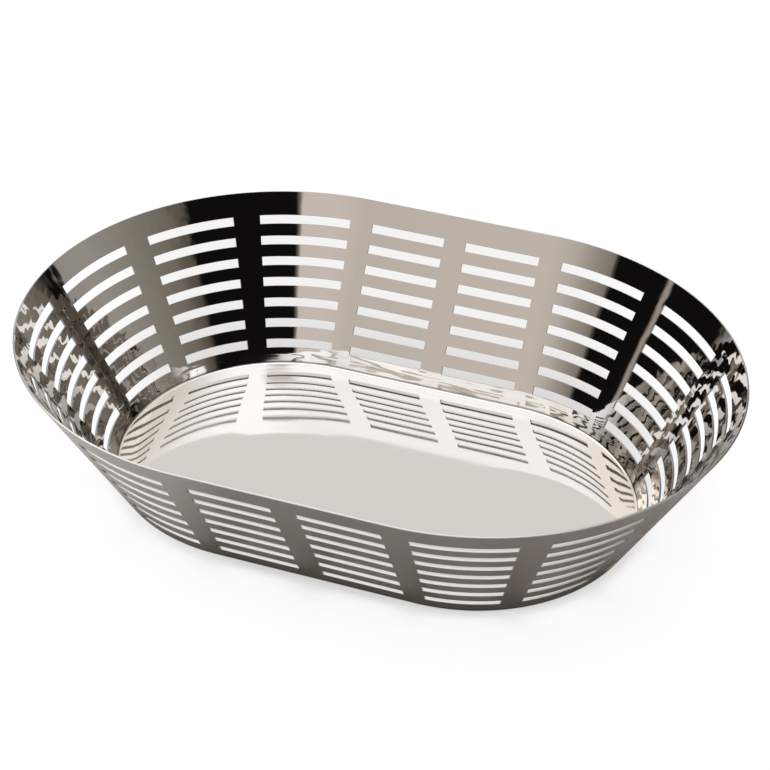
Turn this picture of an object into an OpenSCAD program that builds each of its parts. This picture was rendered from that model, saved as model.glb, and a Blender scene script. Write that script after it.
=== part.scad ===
// Oval serving basket, pressed from one sheet of polished steel.
// A flat oval floor turns up through a tight bend into a straight, flared wall.
// The wall has the same slope all round: planes along the sides, half cones at the ends.
// Rows of square-ended slots run round the wall, in panels parted by plain ribs.
// The origin is the centre of the underside, +X runs along the basket and +Z is up.

/* [Basket] */
// Overall length over the rim
basket_l = 264; // [230:1:320]
// Overall width over the rim
basket_w = 190; // [170:1:220]
// Height from the table to the top of the rim
basket_h = 60; // [45:1:80]
// Slope of the wall above the table, in degrees
wall_angle = 60.5; // [55:0.5:72]

/* [Sheet] */
// Thickness of the steel sheet
sheet_t = 0.8; // [0.5:0.1:1.5]
// Outside radius of the bend between the floor and the wall
bend_r = 2; // [1.6:0.1:4]

/* [Slot rows] */
// Height of a slot, measured along the slope of the wall
slot_w = 3.3; // [2:0.1:5]
// Distance from one row of slots to the next, along the slope
row_pitch = 8.15; // [6:0.05:12]
// Plain band from the rim to the middle of the top row, along the slope
rim_band = 11; // [8:0.5:16]
// Least plain band from the floor corner to the middle of the bottom row, along the slope
floor_band = 8; // [5:0.5:12]

/* [Slot panels] */
// Panels of slots along each straight side
side_panels = 2; // [1:1:4]
// Plain rib between two panels of a straight side
side_rib = 8.8; // [5:0.1:14]
// Plain strip between the last slot of a straight side and the round end
side_edge = 3; // [1:0.1:8]
// Panels of slots round each end
end_panels = 6; // [4:1:8]
// Plain rib between two panels of a round end, in degrees
end_rib = 6.8; // [4:0.1:10]
// Plain strip between the start of a round end and its first slot, in degrees
end_edge = 4; // [2:0.1:8]

/* [Hidden] */
$fn = 180;
steel = [0.76, 0.75, 0.73];

// The spine is the line between the centres of the two round ends
spine_l = basket_l - basket_w;

// The section is drawn from the spine outwards, so its first axis is the distance to the spine.
// The rim is cut square to the sheet: its inner edge is the top and its outer edge the widest.
// Outer face of the wall, from the sharp corner where it would meet the table up to the rim
wall_l = (basket_h - sheet_t * cos(wall_angle)) / sin(wall_angle);
corner_r = basket_w / 2 - wall_l * cos(wall_angle);

// The bend touches the table and the wall's outer face, and takes this much of both
bend_inner_r = bend_r - sheet_t;
bend_reach = bend_r * tan(wall_angle / 2);
floor_r = corner_r - bend_reach;
flat_l = wall_l - bend_reach;

// Rows and panels fill the wall that is left between the plain bands
rows = floor((wall_l - rim_band - floor_band) / row_pitch) + 1;
side_slot_l = (spine_l - 2 * side_edge - (side_panels - 1) * side_rib) / side_panels;
end_slot_a = (180 - 2 * end_edge - (end_panels - 1) * end_rib) / end_panels;
// The cutter reaches this far through the sheet, measured across both faces
cutter_t = 4 * sheet_t;

// Both flanks of the bend are turned from its middle, so the floor, the bend and the wall meet exactly.
// side is -1 for the floor's flank and 1 for the wall's.
module flank(side) {
    translate([floor_r, bend_r]) rotate(wall_angle / 2) rotate(side * wall_angle / 2) children();
}

// Lays its children out on the wall: first axis up the slope from the bend, second into the sheet
module on_wall() {
    flank(1) translate([0, -bend_r]) children();
}

// Everything on the inner side of a line that follows the floor, rounds the bend at radius r and
// climbs the wall; deep is how far it reaches in from that line along the floor and the wall
module inside_line(r, deep) {
    flank(-1) translate([-2 * floor_r, -r]) square([2 * floor_r, deep]);
    flank(1) circle(r);
    flank(1) translate([0, -r]) square([flat_l, deep]);
}

// Section of the sheet, between its outer and inner faces; the floor stops at the spine
module sheet_section() {
    intersection() {
        difference() {
            inside_line(bend_r, bend_r);
            inside_line(bend_inner_r, 2 * bend_r);
        }
        translate([0, -basket_h]) square([basket_w, 3 * basket_h]);
    }
}

// One slot's section, square to the wall and centred on the sheet
module slot_section(row) {
    up_wall = flat_l - rim_band - row * row_pitch;
    on_wall() translate([up_wall, sheet_t / 2]) square([slot_w, cutter_t], center = true);
}

// Straight run of a section along one side, from x = from on for the given length
module side_run(from, length) {
    translate([from, 0, 0]) rotate([90, 0, 90]) linear_extrude(length) children();
}

// Both halves of the sheet between the round ends
module straight_part() {
    side_run(-spine_l / 2, spine_l) {
        sheet_section();
        mirror([1, 0]) sheet_section();
    }
}

// Round end at +X, for the whole half turn
module round_end() {
    translate([spine_l / 2, 0, 0]) rotate_extrude(angle = 180, start = -90) sheet_section();
}

// Slots of the straight side at +Y
module side_slots() {
    for (row = [0 : rows - 1], panel = [0 : side_panels - 1])
        side_run(-spine_l / 2 + side_edge + panel * (side_slot_l + side_rib), side_slot_l)
            slot_section(row);
}

// Slots of the round end at +X
module end_slots() {
    for (row = [0 : rows - 1], panel = [0 : end_panels - 1])
        translate([spine_l / 2, 0, 0])
            rotate_extrude(
                angle = end_slot_a,
                start = -90 + end_edge + panel * (end_slot_a + end_rib)
            ) slot_section(row);
}

module basket_shell() {
    color(steel) difference() {
        union() {
            straight_part();
            for (turn = [0, 180]) rotate(turn) round_end();
        }
        for (turn = [0, 180]) rotate(turn) {
            side_slots();
            end_slots();
        }
    }
}

basket_shell();
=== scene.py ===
"""Oval serving basket of mirror-polished steel sheet, on a pale table in a soft studio."""
from math import ceil, cos, pi, radians, sin, tan

import bpy
from mathutils import Matrix, Vector


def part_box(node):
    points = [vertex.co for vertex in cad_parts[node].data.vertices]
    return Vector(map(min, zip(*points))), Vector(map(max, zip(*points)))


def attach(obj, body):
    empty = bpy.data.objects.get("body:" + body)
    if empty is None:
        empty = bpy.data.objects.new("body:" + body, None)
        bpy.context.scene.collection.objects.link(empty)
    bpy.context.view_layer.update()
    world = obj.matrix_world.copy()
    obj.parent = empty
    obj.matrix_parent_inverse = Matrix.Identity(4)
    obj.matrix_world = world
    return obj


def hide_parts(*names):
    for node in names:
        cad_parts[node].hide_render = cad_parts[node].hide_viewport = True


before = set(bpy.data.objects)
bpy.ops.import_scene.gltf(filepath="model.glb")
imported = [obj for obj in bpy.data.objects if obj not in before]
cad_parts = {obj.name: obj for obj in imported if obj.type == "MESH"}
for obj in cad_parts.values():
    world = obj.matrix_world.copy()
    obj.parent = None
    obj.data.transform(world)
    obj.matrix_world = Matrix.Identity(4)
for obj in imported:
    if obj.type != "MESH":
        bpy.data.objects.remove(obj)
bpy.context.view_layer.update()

MM = 0.001

# Sizes of the sheet, the bend and the slots, in millimetres. The outer sizes come from the frame.
NODE_LOW, NODE_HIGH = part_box("basket_shell")
BASKET_L = (NODE_HIGH.x - NODE_LOW.x) / MM
BASKET_W = (NODE_HIGH.y - NODE_LOW.y) / MM
BASKET_H = NODE_HIGH.z / MM
WALL_ANGLE = radians(60.5)
SHEET_T = 0.8
BEND_R = 2.0
SLOT_W = 3.3
ROW_PITCH = 8.15
RIM_BAND = 11.0
ROWS = 7
SIDE_PANELS = 2
SIDE_RIB = 8.8
SIDE_EDGE = 3.0
END_PANELS = 6
END_RIB = radians(6.8)
END_EDGE = radians(4.0)

# The cut edges of the slots and of the rim are rounded off by these radii
SLOT_BREAK = 0.10
RIM_BREAK = 0.18
BREAK_STEPS = 2
RIM_STEPS = 4
# How finely the outline and the bend are divided
END_STEP = radians(1.0)
SIDE_STEP = 5.0
BEND_STEPS = 10
# Places on the floor, as the distance in from the bend, and how far its face there leans out
FLOOR_LEAN = (
    (42.0, 0.0), (36.0, -0.8), (30.0, -1.1), (25.0, -1.1), (21.0, -0.9), (18.0, -0.5), (15.0, 0.0),
    (12.5, 0.5), (10.0, 1.2), (8.0, 1.7), (6.0, 1.9), (4.0, 1.6), (2.0, 0.8),
)
FOOT_STEPS = 4
# The outward lean grows by this share towards the round ends, from one distance along X on,
# in millimetres, to another
END_LEAN = 0.5
END_LEAN_FROM, END_LEAN_TO = 60, 95
# Depths in metres of the waves in the steel, of the streaks round the wall's foot and of the
# ripples in the round ends
WAVE_HEIGHT = 5e-5
STREAK_HEIGHT = 6e-5
RIPPLE_HEIGHT = 1.3e-4
# In metres: heights between which the waves start and the streaks end, and distances along X
# between which the ripples start
WAVES_FROM = (0.001, 0.004)
FOOT_STREAKS = (0.014, 0.004)
END_RIPPLES = (0.07, 0.115)
# Least and most roughness of the haze, and the same for the cut edges
HAZE = (0.02, 0.05)
CUT_DULL = (0.26, 0.42)
CUT_STEEL = (0.50, 0.48, 0.455)
MARK_DEPTH = 0.00005
# Springing back from the bend leaves the wall's inner face a little steeper just above it. This
# bow ends at BOW_REACH up the wall, and fades over the last BOW_FADE. Along X it is whole from
# BOW_FULL on, and lessens towards BOW_NONE, but never below the share LEAST_BOW.
FOOT_BOW = radians(2.6)
LEAST_BOW = 0.7
BOW_NONE, BOW_FULL = -95, -50
BOW_REACH = 8.0
BOW_FADE = 2.0
# Painted shade: the steel's colour is darker in the crease above the bend. Heights in millimetres and
# shares of STEEL
STEEL = (0.70, 0.656, 0.621)
CREASE = ((1.2, 1.0), (1.4, 0.45), (1.6, 0.45), (1.85, 1.0))
CREASE_SCALE = 4.0
# Finishes of the sheet's faces and of its cut edges
POLISHED, CUT = 0, 1

SPINE = (BASKET_L - BASKET_W) / 2
WALL_L = (BASKET_H - SHEET_T * cos(WALL_ANGLE)) / sin(WALL_ANGLE)
BEND_REACH = BEND_R * tan(WALL_ANGLE / 2)
FLOOR_R = BASKET_W / 2 - WALL_L * cos(WALL_ANGLE) - BEND_REACH
FLAT_L = WALL_L - BEND_REACH
END_SLOT = (pi - 2 * END_EDGE - (END_PANELS - 1) * END_RIB) / END_PANELS
SIDE_SLOT = (2 * SPINE - 2 * SIDE_EDGE - (SIDE_PANELS - 1) * SIDE_RIB) / SIDE_PANELS

# Directions in the section: its first axis leads out from the spine and its second one up
UP_SLOPE = Vector((cos(WALL_ANGLE), sin(WALL_ANGLE)))
OUTWARDS = Vector((sin(WALL_ANGLE), -cos(WALL_ANGLE)))
WALL_FOOT = Vector((FLOOR_R, BEND_R)) + BEND_R * OUTWARDS


def wall_point(t, depth):
    """Section point t up the wall from the bend, and depth in from its outer face."""
    return WALL_FOOT + t * UP_SLOPE - depth * OUTWARDS


def turned(section, angle):
    """A direction of the section, turned from its first axis towards its second."""
    return Vector((
        section[0] * cos(angle) - section[1] * sin(angle),
        section[0] * sin(angle) + section[1] * cos(angle),
    ))


class Column:
    """A place round the outline: a point on the spine and the level direction out of it."""

    def __init__(self, x, angle, shift=0.0):
        self.x = x
        self.out = Vector((cos(angle), sin(angle), 0.0))
        self.along = Vector((-sin(angle), cos(angle), 0.0))
        self.shift = shift

    def point(self, section, shift=None):
        step = self.shift if shift is None else shift
        p = Vector((self.x, 0.0, section[1])) + self.out * section[0] + self.along * step
        return p * MM

    def direction(self, section, along=0.0):
        d = self.out * section[0] + self.along * along + Vector((0.0, 0.0, section[1]))
        return d.normalized()


def stretch(cuts, step, make):
    """Columns over the stretches between the cuts, and where each slotted stretch starts and ends.
    Every second stretch is slotted. The last cut has no column of its own."""
    columns, panels = [], []
    for i, (a, b) in enumerate(zip(cuts, cuts[1:])):
        n = max(1, ceil(abs(b - a) / step - 1e-6))
        if i % 2:
            panels.append((len(columns), len(columns) + n))
        columns += [make(a + (b - a) * k / n) for k in range(n)]
    for first, last in panels:
        columns[first].shift = -SLOT_BREAK
        columns[last].shift = SLOT_BREAK
    return columns, panels


def outline():
    """Columns once round the basket, and the first and last column of each panel of slots."""
    end_cuts = [-pi / 2]
    for k in range(END_PANELS):
        start = -pi / 2 + END_EDGE + k * (END_SLOT + END_RIB)
        end_cuts += [start, start + END_SLOT]
    end_cuts.append(pi / 2)
    side_cuts = [SPINE]
    for k in range(SIDE_PANELS):
        start = SPINE - SIDE_EDGE - k * (SIDE_SLOT + SIDE_RIB)
        side_cuts += [start, start - SIDE_SLOT]
    side_cuts.append(-SPINE)
    columns, panels = [], []
    for turn, flip in ((0.0, 1.0), (pi, -1.0)):
        for cuts, step, make in (
            (end_cuts, END_STEP, lambda a: Column(flip * SPINE, a + turn)),
            (side_cuts, SIDE_STEP, lambda x: Column(flip * x, pi / 2 + turn)),
        ):
            new, slotted = stretch(cuts, step, make)
            panels += [(a + len(columns), b + len(columns)) for a, b in slotted]
            columns += new
    return columns, panels


class Shell:
    """A mesh with the true normal of the surface at each corner of each face."""

    def __init__(self):
        self.points = []
        self.faces = []
        self.normals = []
        self.finishes = []
        self.spine = {}

    def vertex(self, point):
        self.points.append(point)
        return len(self.points) - 1

    def spine_vertex(self, point):
        key = (round(point.x / MM, 3), round(point.z / MM, 3))
        if key not in self.spine:
            self.spine[key] = self.vertex(point)
        return self.spine[key]

    def face(self, corners, finish=POLISHED):
        """corners holds (vertex, normal) in order round the face. Corners that coincide are joined."""
        kept = [c for i, c in enumerate(corners) if c[0] != corners[i - 1][0]]
        if len(kept) < 3:
            return
        p = [self.points[c[0]] for c in kept]
        area = Vector((0.0, 0.0, 0.0))
        for a, b in zip(p, p[1:] + p[:1]):
            area += a.cross(b)
        if area.dot(sum((c[1] for c in kept), Vector((0.0, 0.0, 0.0)))) < 0:
            kept.reverse()
        self.faces.append([c[0] for c in kept])
        self.finishes.append(finish)
        self.normals += [c[1] for c in kept]

    def build(self, name):
        data = bpy.data.meshes.new(name)
        data.from_pydata(self.points, [], self.faces)
        data.shade_smooth()
        data.polygons.foreach_set("material_index", self.finishes)
        data.normals_split_custom_set(self.normals)
        data.update()
        piece = bpy.data.objects.new(name, data)
        bpy.context.scene.collection.objects.link(piece)
        return piece


def basket():
    """The sheet as one closed shell, slots and rim included."""
    shell = Shell()
    columns, panels = outline()
    count = len(columns)
    ring = range(count)
    slotted = {i for first, last in panels for i in range(first, last)}

    def row_of(section):
        if section[0] == 0.0:
            return [shell.spine_vertex(c.point(section, 0.0)) for c in columns]
        return [shell.vertex(c.point(section)) for c in columns]

    def facing(section):
        return [c.direction(section) for c in columns]

    def band(low, high, low_facing, high_facing, skip=(), finish=POLISHED):
        for i in ring:
            if i in skip:
                continue
            j = (i + 1) % count
            shell.face([
                (low[i], low_facing[i]),
                (low[j], low_facing[j]),
                (high[j], high_facing[j]),
                (high[i], high_facing[i]),
            ], finish)

    def leaning(lean):
        """Directions that the floor's inner face has near the bend; it leans out most at the ends."""
        directions = []
        for c in columns:
            x = abs(c.x + FLOOR_R * c.out.x)
            share = min(1.0, max(0.0, (x - END_LEAN_FROM) / (END_LEAN_TO - END_LEAN_FROM)))
            tilt = radians(lean) * (1 + END_LEAN * share * (lean > 0))
            directions.append(c.direction((sin(tilt), cos(tilt))))
        return directions

    def bowed(t):
        """Directions that the wall's inner face has at t, with its bow just above the bend."""
        share = min(1.0, max(0.0, (BOW_REACH - t) / BOW_FADE))
        directions = []
        for c in columns:
            x = c.x + FLOOR_R * c.out.x
            bow = FOOT_BOW * min(1.0, max(LEAST_BOW, (x - BOW_NONE) / (BOW_FULL - BOW_NONE)))
            directions.append(c.direction(turned(-OUTWARDS, bow * share)))
        return directions

    centres = sorted(FLAT_L - RIM_BAND - row * ROW_PITCH for row in range(ROWS))
    opening = SLOT_W / 2 + SLOT_BREAK
    lines = [t for c in centres for t in (c - opening, c + opening)] + [FLAT_L - RIM_BREAK]

    def face_of_sheet(depth, sign):
        """Floor, bend and wall on one face: depth is measured in from the outer face, and sign is
        1 on the outer face and -1 on the inner one. Returns the rows of the wall."""
        radius = BEND_R - depth
        reach = [0.0] + [FLOOR_R - inset for inset, _ in FLOOR_LEAN] + [FLOOR_R]
        sections = [((r, depth), (0.0, -sign)) for r in reach]
        for k in range(1, BEND_STEPS + 1):
            a = WALL_ANGLE * k / BEND_STEPS
            sections.append((
                (FLOOR_R + radius * sin(a), BEND_R - radius * cos(a)), (sign * sin(a), -sign * cos(a))
            ))
        rows = [row_of(s) for s, _ in sections]
        faced = [facing(s[1]) for s in sections]
        if sign < 0:
            for k, (inset, lean) in enumerate(FLOOR_LEAN):
                faced[k + 1] = leaning(lean)
        for k in range(len(rows) - 1):
            band(rows[k], rows[k + 1], faced[k], faced[k + 1])
        feet = [lines[0] * k / FOOT_STEPS for k in range(1, FOOT_STEPS)]
        levels = [0.0] + feet + lines
        wall = [rows[-1]] + [row_of(wall_point(t, depth)) for t in levels[1:]]
        faced = [bowed(t) if sign < 0 else facing(OUTWARDS) for t in levels]
        for k in range(len(wall) - 1):
            inside_row = k >= FOOT_STEPS and (k - FOOT_STEPS) % 2 == 0
            band(wall[k], wall[k + 1], faced[k], faced[k + 1], slotted if inside_row else ())
        return wall[FOOT_STEPS:]

    outer = face_of_sheet(0.0, 1.0)
    inner = face_of_sheet(SHEET_T, -1.0)

    def rounding(radius, steps):
        """(set back from the edge, depth from the face, share of the face's normal, share of the
        cut's normal) at each step of a rounded edge, from the face to the cut."""
        angles = [pi / 2 * k / steps for k in range(steps + 1)]
        return [(radius * (1 - sin(q)), radius * (1 - cos(q)), cos(q), sin(q)) for q in angles]

    def through(radius, steps):
        """The same right through the sheet: (set back, depth, normal on the outer side, cut's share)."""
        half = rounding(radius, steps)
        return half + [(s, SHEET_T - d, -f, c) for s, d, f, c in reversed(half)]

    # Rim: the cut is square to the sheet and its two edges are rounded off
    levels = through(RIM_BREAK, RIM_STEPS)
    rows = [outer[-1]] + [row_of(wall_point(FLAT_L - s, d)) for s, d, _, _ in levels[1:-1]] + [inner[-1]]
    for k in range(len(rows) - 1):
        normals = [facing(levels[m][2] * OUTWARDS + levels[m][3] * UP_SLOPE) for m in (k, k + 1)]
        band(rows[k], rows[k + 1], normals[0], normals[1], finish=CUT)

    # Slots: the same cut, carried round the four sides of each slot
    levels = through(SLOT_BREAK, BREAK_STEPS)
    for number, centre in enumerate(centres):
        for first, last in panels:
            span = list(range(first, last + 1))
            places = [(0, i) for i in span] + [(1, i) for i in reversed(span)]
            loops = []
            for m, (back, depth, _, _) in enumerate(levels):
                if m in (0, len(levels) - 1):
                    rows = (outer if m == 0 else inner)[2 * number:2 * number + 2]
                    loops.append([rows[top][i % count] for top, i in places])
                    continue
                loop = []
                for top, i in places:
                    t = centre + (1 if top else -1) * (SLOT_W / 2 + back)
                    shift = -back if i == first else back if i == last else 0.0
                    loop.append(shell.vertex(columns[i % count].point(wall_point(t, depth), shift)))
                loops.append(loop)
            size = len(places)
            for m in range(len(levels) - 1):
                for a in range(size):
                    b = (a + 1) % size
                    if a == len(span) - 1:
                        slope, along = 0.0, -1.0
                    elif a == size - 1:
                        slope, along = 0.0, 1.0
                    else:
                        slope, along = (-1.0 if places[a][0] else 1.0), 0.0
                    corners = []
                    for level, place in ((m, a), (m, b), (m + 1, b), (m + 1, a)):
                        face, cut = levels[level][2:]
                        section = face * OUTWARDS + cut * slope * UP_SLOPE
                        normal = columns[places[place][1] % count].direction(section, cut * along)
                        corners.append((loops[level][place], normal))
                    shell.face(corners, CUT)
    return shell.build("basket_sheet")


class Nodes:
    """Adds and links the nodes of a new material or world."""

    def __init__(self, owner):
        owner.use_nodes = True
        self.tree = owner.node_tree

    def put(self, socket, value):
        """Links another node's output to the socket, or sets it to a number or a colour."""
        if isinstance(value, bpy.types.NodeSocket):
            self.tree.links.new(value, socket)
        elif socket.type == "RGBA":
            socket.default_value = (*value, 1.0)
        else:
            socket.default_value = value

    def fill(self, node, **values):
        """Puts values on the node's inputs. Each name is the input's, with _ for a space."""
        for name, value in values.items():
            self.put(node.inputs[name.replace("_", " ")], value)

    def add(self, kind, **values):
        node = self.tree.nodes.new("ShaderNode" + kind)
        self.fill(node, **values)
        return node

    def maths(self, operation, *values):
        node = self.add("Math")
        node.operation = operation
        for socket, value in zip(node.inputs, values):
            self.put(socket, value)
        return node.outputs["Value"]

    def ramp(self, value, low, high, at_low=0.0, at_high=1.0, shape="SMOOTHSTEP"):
        """at_low up to where the value is low, at_high from where it is high, and between in between."""
        node = self.add("MapRange", Value=value, From_Min=low, From_Max=high, To_Min=at_low, To_Max=at_high)
        node.interpolation_type = shape
        return node.outputs["Result"]

    def noise(self, vector, scale, detail):
        return self.add("TexNoise", Vector=vector, Scale=scale, Detail=detail).outputs["Fac"]

    def colours(self, value, stops):
        """The colour at a value from 0 to 1, between stops of (value, colour)."""
        node = self.add("ValToRGB", Fac=value)
        elements = node.color_ramp.elements
        while len(elements) < len(stops):
            elements.new(1.0)
        for element, (place, colour) in zip(elements, stops):
            element.position = place
            element.color = (*colour, 1.0)
        return node.outputs["Color"]

    def axes(self, vector):
        """The vector's X, Y and Z."""
        return self.add("SeparateXYZ", Vector=vector).outputs[:]

    def mix(self, share, low, high):
        """The shader low where the share is 0 and the shader high where it is 1."""
        node = self.add("MixShader", Fac=share)
        self.put(node.inputs[1], low)
        self.put(node.inputs[2], high)
        return node.outputs["Shader"]


def polished_steel():
    """Mirror-polished stainless steel: faint waves from pressing and polishing, drawn out into
    streaks round the foot of the wall, a haze that comes and goes, and painted shade in the
    crease above the bend."""
    material = bpy.data.materials.new("mirror_steel")
    nodes = Nodes(material)
    maths = nodes.maths
    place = nodes.add("TexCoord").outputs["Object"]
    x, _, z = nodes.axes(place)
    foot = nodes.ramp(z, *FOOT_STREAKS)
    above_floor = nodes.ramp(z, *WAVES_FROM, shape="LINEAR")
    ends = nodes.ramp(maths("ABSOLUTE", x), *END_RIPPLES)
    ripples = maths("MULTIPLY", nodes.noise(place, 170.0, 1.0), RIPPLE_HEIGHT)
    waves = maths("MULTIPLY", nodes.noise(place, 90.0, 1.0), WAVE_HEIGHT)
    waves = maths("ADD", waves, maths("MULTIPLY", ripples, ends))
    drawn = nodes.add("Mapping", Vector=place, Scale=(1.0, 1.0, 6.0)).outputs["Vector"]
    streaks = maths("MULTIPLY", nodes.noise(drawn, 60.0, 1.0), STREAK_HEIGHT)
    waves = maths("ADD", waves, maths("MULTIPLY", streaks, foot))
    height = maths("MULTIPLY", waves, above_floor)
    # Painted shade: the base colour darkens in the crease just above the bend
    crease_shade = [(level / CREASE_SCALE, [share * value for value in STEEL]) for level, share in CREASE]
    nodes.fill(
        nodes.tree.nodes["Principled BSDF"],
        Base_Color=nodes.colours(maths("DIVIDE", z, CREASE_SCALE * MM), crease_shade),
        Metallic=1.0,
        Roughness=nodes.ramp(nodes.noise(place, 35.0, 3.0), 0.3, 0.7, *HAZE, shape="LINEAR"),
        Normal=nodes.add("Bump", Distance=1.0, Height=height).outputs["Normal"],
    )
    return material


def cut_steel():
    """The edges that the blanking tool left: duller and greyer than the sheet's faces, with fine
    tool marks square to the sheet."""
    material = bpy.data.materials.new("cut_steel")
    nodes = Nodes(material)
    marks = nodes.noise(nodes.add("TexCoord").outputs["Object"], 2200.0, 2.0)
    nodes.fill(
        nodes.tree.nodes["Principled BSDF"],
        Base_Color=CUT_STEEL,
        Metallic=1.0,
        Roughness=nodes.ramp(marks, 0.0, 1.0, *CUT_DULL, shape="LINEAR"),
        Normal=nodes.add("Bump", Strength=0.25, Distance=MARK_DEPTH, Height=marks).outputs["Normal"],
    )
    return material


def camera():
    """The photograph's view, fitted to the rim, the floor line and the ends of the slots."""
    azimuth, elevation, roll = radians(19.039), radians(35.144), radians(1.191)
    aside, above, distance = 0.0039, 0.034052, 0.817429
    back = Vector((sin(azimuth) * cos(elevation), -cos(azimuth) * cos(elevation), sin(elevation)))
    level = Vector((cos(azimuth), sin(azimuth), 0.0))
    tall = back.cross(level)
    right = level * cos(roll) + tall * sin(roll)
    up = tall * cos(roll) - level * sin(roll)
    place = right * aside + up * above + back * distance + Vector((0.0, 0.0, SHEET_T * MM))
    data = bpy.data.cameras.new("camera")
    data.sensor_width = 36.0
    data.lens = 103.372
    data.clip_start = 0.01
    obj = bpy.data.objects.new("camera", data)
    obj.matrix_world = Matrix.Translation(place) @ Matrix((right, up, back)).transposed().to_4x4()
    bpy.context.scene.collection.objects.link(obj)
    bpy.context.scene.camera = obj


# The table's matt colour round the outside of the basket, by X in metres, with painted light in it:
# it is painted darker to the right, as if the light fell off there
TABLE_SHADE_BY_X = (
    (-0.115, (0.64, 0.63, 0.62)),
    (-0.065, (0.61, 0.60, 0.585)),
    (-0.035, (0.45, 0.42, 0.40)),
    (0.03, (0.43, 0.412, 0.39)),
    (0.10, (0.46, 0.42, 0.395)),
)
SHADE_BY_X_REACH = 0.15
TABLE_REACH = 3.0
# The table's glow to the camera where it is open, and where the basket is closest to it: the lower
# glow there is a painted contact shadow, drawn from ambient occlusion
OPEN_GLOW = 0.905
CLOSE_GLOW = 0.45
OPEN_SKY = (0.15, 0.44)
CLOSE_REACH = 0.05
# The room's light that the table adds to its glow
FAINT = (0.155, 0.145, 0.138)
# Left of X = -0.02 the contact shadow fades, down to this share at X = -0.09
LEFT_SHADOW = 0.45
LEFT_FADE = (-0.09, -0.02)
# Soft shadow behind the basket: distances from the spine between which each part of it fades out,
# and how dark that part is
DEEP_SHADOW = (0.065, 0.125, 0.16)
EVEN_SHADOW = (0.17, 0.205, 0.16)
# It starts behind the basket's middle, and swings to -X by this much for each metre back
BEHIND = (0.0, 0.06)
SWING = 0.35
SHADOW_SIDES = (0.08, 0.14)
# In mirrors the table turns from matt to white between these distances from the spine
MIRROR_CLEAR = (0.10, 0.20)


def table():
    """A matt white table, its matt colour painted darker to the right. To the camera, and in mirrors
    away from the basket, it is lifted to white. Its faint matt share keeps the basket's cast shadow,
    and the lift carries painted shadows: a contact shadow drawn from ambient occlusion and a soft
    shadow behind the basket, set by place."""
    r = TABLE_REACH
    data = bpy.data.meshes.new("table")
    data.from_pydata([(-r, -r, 0.0), (r, -r, 0.0), (r, r, 0.0), (-r, r, 0.0)], [], [(0, 1, 2, 3)])
    top = bpy.data.objects.new("table", data)
    bpy.context.scene.collection.objects.link(top)
    material = bpy.data.materials.new("table_white")
    nodes = Nodes(material)
    maths = nodes.maths
    x, y, _ = nodes.axes(nodes.add("NewGeometry").outputs["Position"])

    # Painted shadow behind the basket: set by place on the table, and not cast by a light
    past_end = maths("MAXIMUM", maths("SUBTRACT", maths("ABSOLUTE", x), SPINE * MM), 0.0)
    away = maths("SQRT", maths("ADD", maths("POWER", past_end, 2.0), maths("POWER", y, 2.0)))
    aside = maths("ABSOLUTE", maths("ADD", x, maths("MULTIPLY", y, SWING)))
    behind = maths("MULTIPLY", nodes.ramp(y, *BEHIND), nodes.ramp(aside, *SHADOW_SIDES, 1.0, 0.0))
    deep, even = (
        nodes.ramp(away, near, far, shade_behind, 0.0) for near, far, shade_behind in (DEEP_SHADOW, EVEN_SHADOW)
    )
    shade_behind = maths("MULTIPLY", behind, maths("ADD", deep, even))

    # Painted contact shadow: the glow is drawn down where ambient occlusion finds the basket close
    sky = nodes.add("AmbientOcclusion", Distance=CLOSE_REACH)
    sky.samples = 16
    glow = nodes.ramp(sky.outputs["AO"], *OPEN_SKY, CLOSE_GLOW, OPEN_GLOW, shape="LINEAR")
    contact_shade = maths("SUBTRACT", OPEN_GLOW, glow)
    contact_shade = maths("MULTIPLY", contact_shade, nodes.ramp(x, *LEFT_FADE, LEFT_SHADOW, 1.0))
    glow = maths("MULTIPLY", maths("SUBTRACT", OPEN_GLOW, contact_shade), maths("SUBTRACT", 1.0, shade_behind))
    lifted = nodes.add("AddShader")
    nodes.put(lifted.inputs[0], nodes.add("BsdfDiffuse", Color=FAINT).outputs["BSDF"])
    nodes.put(lifted.inputs[1], nodes.add("Emission", Strength=glow).outputs["Emission"])

    # Painted light: the matt colour is painted darker to the right, by X
    across = maths("ADD", maths("DIVIDE", x, 2 * SHADE_BY_X_REACH), 0.5)
    shade_by_x = [(0.5 + at / (2 * SHADE_BY_X_REACH), colour) for at, colour in TABLE_SHADE_BY_X]
    matt = nodes.tree.nodes["Principled BSDF"]
    nodes.fill(matt, Base_Color=nodes.colours(across, shade_by_x), Roughness=0.9)

    path = nodes.add("LightPath")
    mirrored = maths("MAXIMUM", path.outputs["Is Glossy Ray"], path.outputs["Is Transmission Ray"])
    mirrored = maths("MULTIPLY", mirrored, nodes.ramp(away, *MIRROR_CLEAR))
    share = maths("MAXIMUM", path.outputs["Is Camera Ray"], mirrored)
    seen = nodes.mix(share, matt.outputs["BSDF"], lifted.outputs["Shader"])
    nodes.fill(nodes.tree.nodes["Material Output"], Surface=seen)
    data.materials.append(material)


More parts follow.
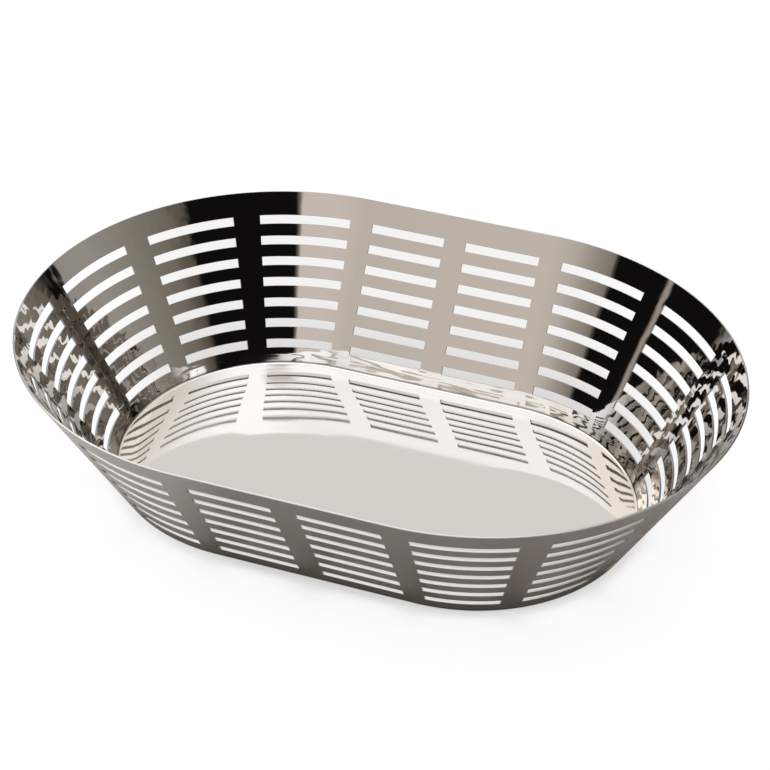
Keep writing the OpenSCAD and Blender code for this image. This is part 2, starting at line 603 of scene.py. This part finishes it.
# The room in degrees round it, from the far side, +Y, by way of +X. Low down there is a white
# backdrop behind, a grey panel on the right, and black flags round a pale panel in front.
BLACK = (0.006, 0.006, 0.005)
LOW_ROOM = (
    (0, (0.94, 0.94, 0.94)),
    (14, (0.94, 0.94, 0.94)),
    (20, (0.15, 0.14, 0.125)),
    (37, (0.11, 0.10, 0.09)),
    (42, BLACK),
    (47.5, BLACK),
    (48.5, (0.37, 0.365, 0.345)),
    (64, (0.40, 0.39, 0.365)),
    (76, (0.35, 0.34, 0.31)),
    (92, (0.27, 0.256, 0.228)),
    (105, (0.22, 0.20, 0.175)),
    (110, (0.15, 0.135, 0.115)),
    (114.6, (0.10, 0.09, 0.075)),
    (115.8, BLACK),
    (167.2, BLACK),
    (167.8, (0.78, 0.722, 0.673)),
    (182, (0.78, 0.735, 0.70)),
    (196, (0.71, 0.67, 0.615)),
    (205, (0.61, 0.585, 0.545)),
    (213, (0.44, 0.415, 0.37)),
    (223, (0.26, 0.235, 0.205)),
    (223.8, BLACK),
    (248.4, BLACK),
    (249.1, (0.56, 0.51, 0.46)),
    (250.2, (0.50, 0.46, 0.42)),
    (250.9, BLACK),
    (281, BLACK),
    (286, (0.32, 0.31, 0.29)),
    (310, (0.94, 0.94, 0.94)),
)
# The same above the panels, where the ceiling begins
HIGH_ROOM = (
    (0, (1.3, 1.3, 1.28)),
    (60, (0.8, 0.79, 0.77)),
    (100, (0.4, 0.39, 0.37)),
    (185, (0.36, 0.35, 0.33)),
    (235, (1.0, 0.98, 0.94)),
    (265, (3.0, 2.9, 2.78)),
    (310, (1.5, 1.5, 1.47)),
)
CEILING = (
    (0, (1.95, 2.13, 2.28)),
    (255, (1.95, 2.13, 2.28)),
    (280, (1.73, 1.87, 1.98)),
    (305, (1.73, 1.87, 1.98)),
    (340, (1.95, 2.13, 2.28)),
)
# A dimmer gap in the ceiling, right overhead
ZENITH = (1.1, 1.09, 1.08)
# The flag on the left is lower than the other panels, by this many degrees
NONE, FULL = (0.0, 0.0, 0.0), (1.0, 1.0, 1.0)
LOW_FLAG = ((222, NONE), (236, FULL), (300, FULL), (320, NONE))
FLAG_DROP = 13.0
# A grey card stands over the dark panel in front
CARD = ((119, NONE), (123, FULL), (166, FULL), (170, NONE))
CARD_LIGHT = (0.52, 0.50, 0.48)
# Heights in degrees above the table between which each part gives way to the next
CARD_EDGE = (30.5, 33.0)
LOW_ROOM_EDGE = (38.0, 54.0)
CEILING_EDGE = (56.0, 80.0)
ZENITH_EDGE = (84.0, 88.0)


def studio():
    """The room that the polished sheet mirrors. To the camera it is plain white."""
    world = bpy.data.worlds.new("studio")
    bpy.context.scene.world = world
    nodes = Nodes(world)
    nodes.tree.nodes.clear()
    maths = nodes.maths
    x, y, z = nodes.axes(nodes.add("TexCoord").outputs["Generated"])
    turn = maths("DIVIDE", maths("ARCTAN2", x, y), 2 * pi)
    azimuth = maths("FRACT", maths("ADD", turn, 1.0))
    elevation = maths("DEGREES", maths("ARCSINE", z))

    def round_room(stops):
        return nodes.colours(azimuth, [(angle / 360, colour) for angle, colour in stops])

    def light(colour):
        return nodes.add("Background", Color=colour).outputs["Background"]

    above_flag = maths("ADD", elevation, maths("MULTIPLY", round_room(LOW_FLAG), FLAG_DROP))
    card = maths("MULTIPLY", round_room(CARD), nodes.ramp(elevation, *CARD_EDGE))
    room = nodes.mix(card, light(round_room(LOW_ROOM)), light(CARD_LIGHT))
    room = nodes.mix(nodes.ramp(above_flag, *LOW_ROOM_EDGE), room, light(round_room(HIGH_ROOM)))
    room = nodes.mix(nodes.ramp(above_flag, *CEILING_EDGE), room, light(round_room(CEILING)))
    room = nodes.mix(nodes.ramp(elevation, *ZENITH_EDGE), room, light(ZENITH))
    shown = nodes.mix(nodes.add("LightPath").outputs["Is Camera Ray"], room, light((1.0, 1.0, 1.0)))
    nodes.add("OutputWorld", Surface=shown)


sheet = basket()
sheet.data.materials.append(polished_steel())
sheet.data.materials.append(cut_steel())
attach(sheet, "root")
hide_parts("basket_shell")
camera()
table()
studio()
bpy.context.scene.view_settings.view_transform = "Standard"
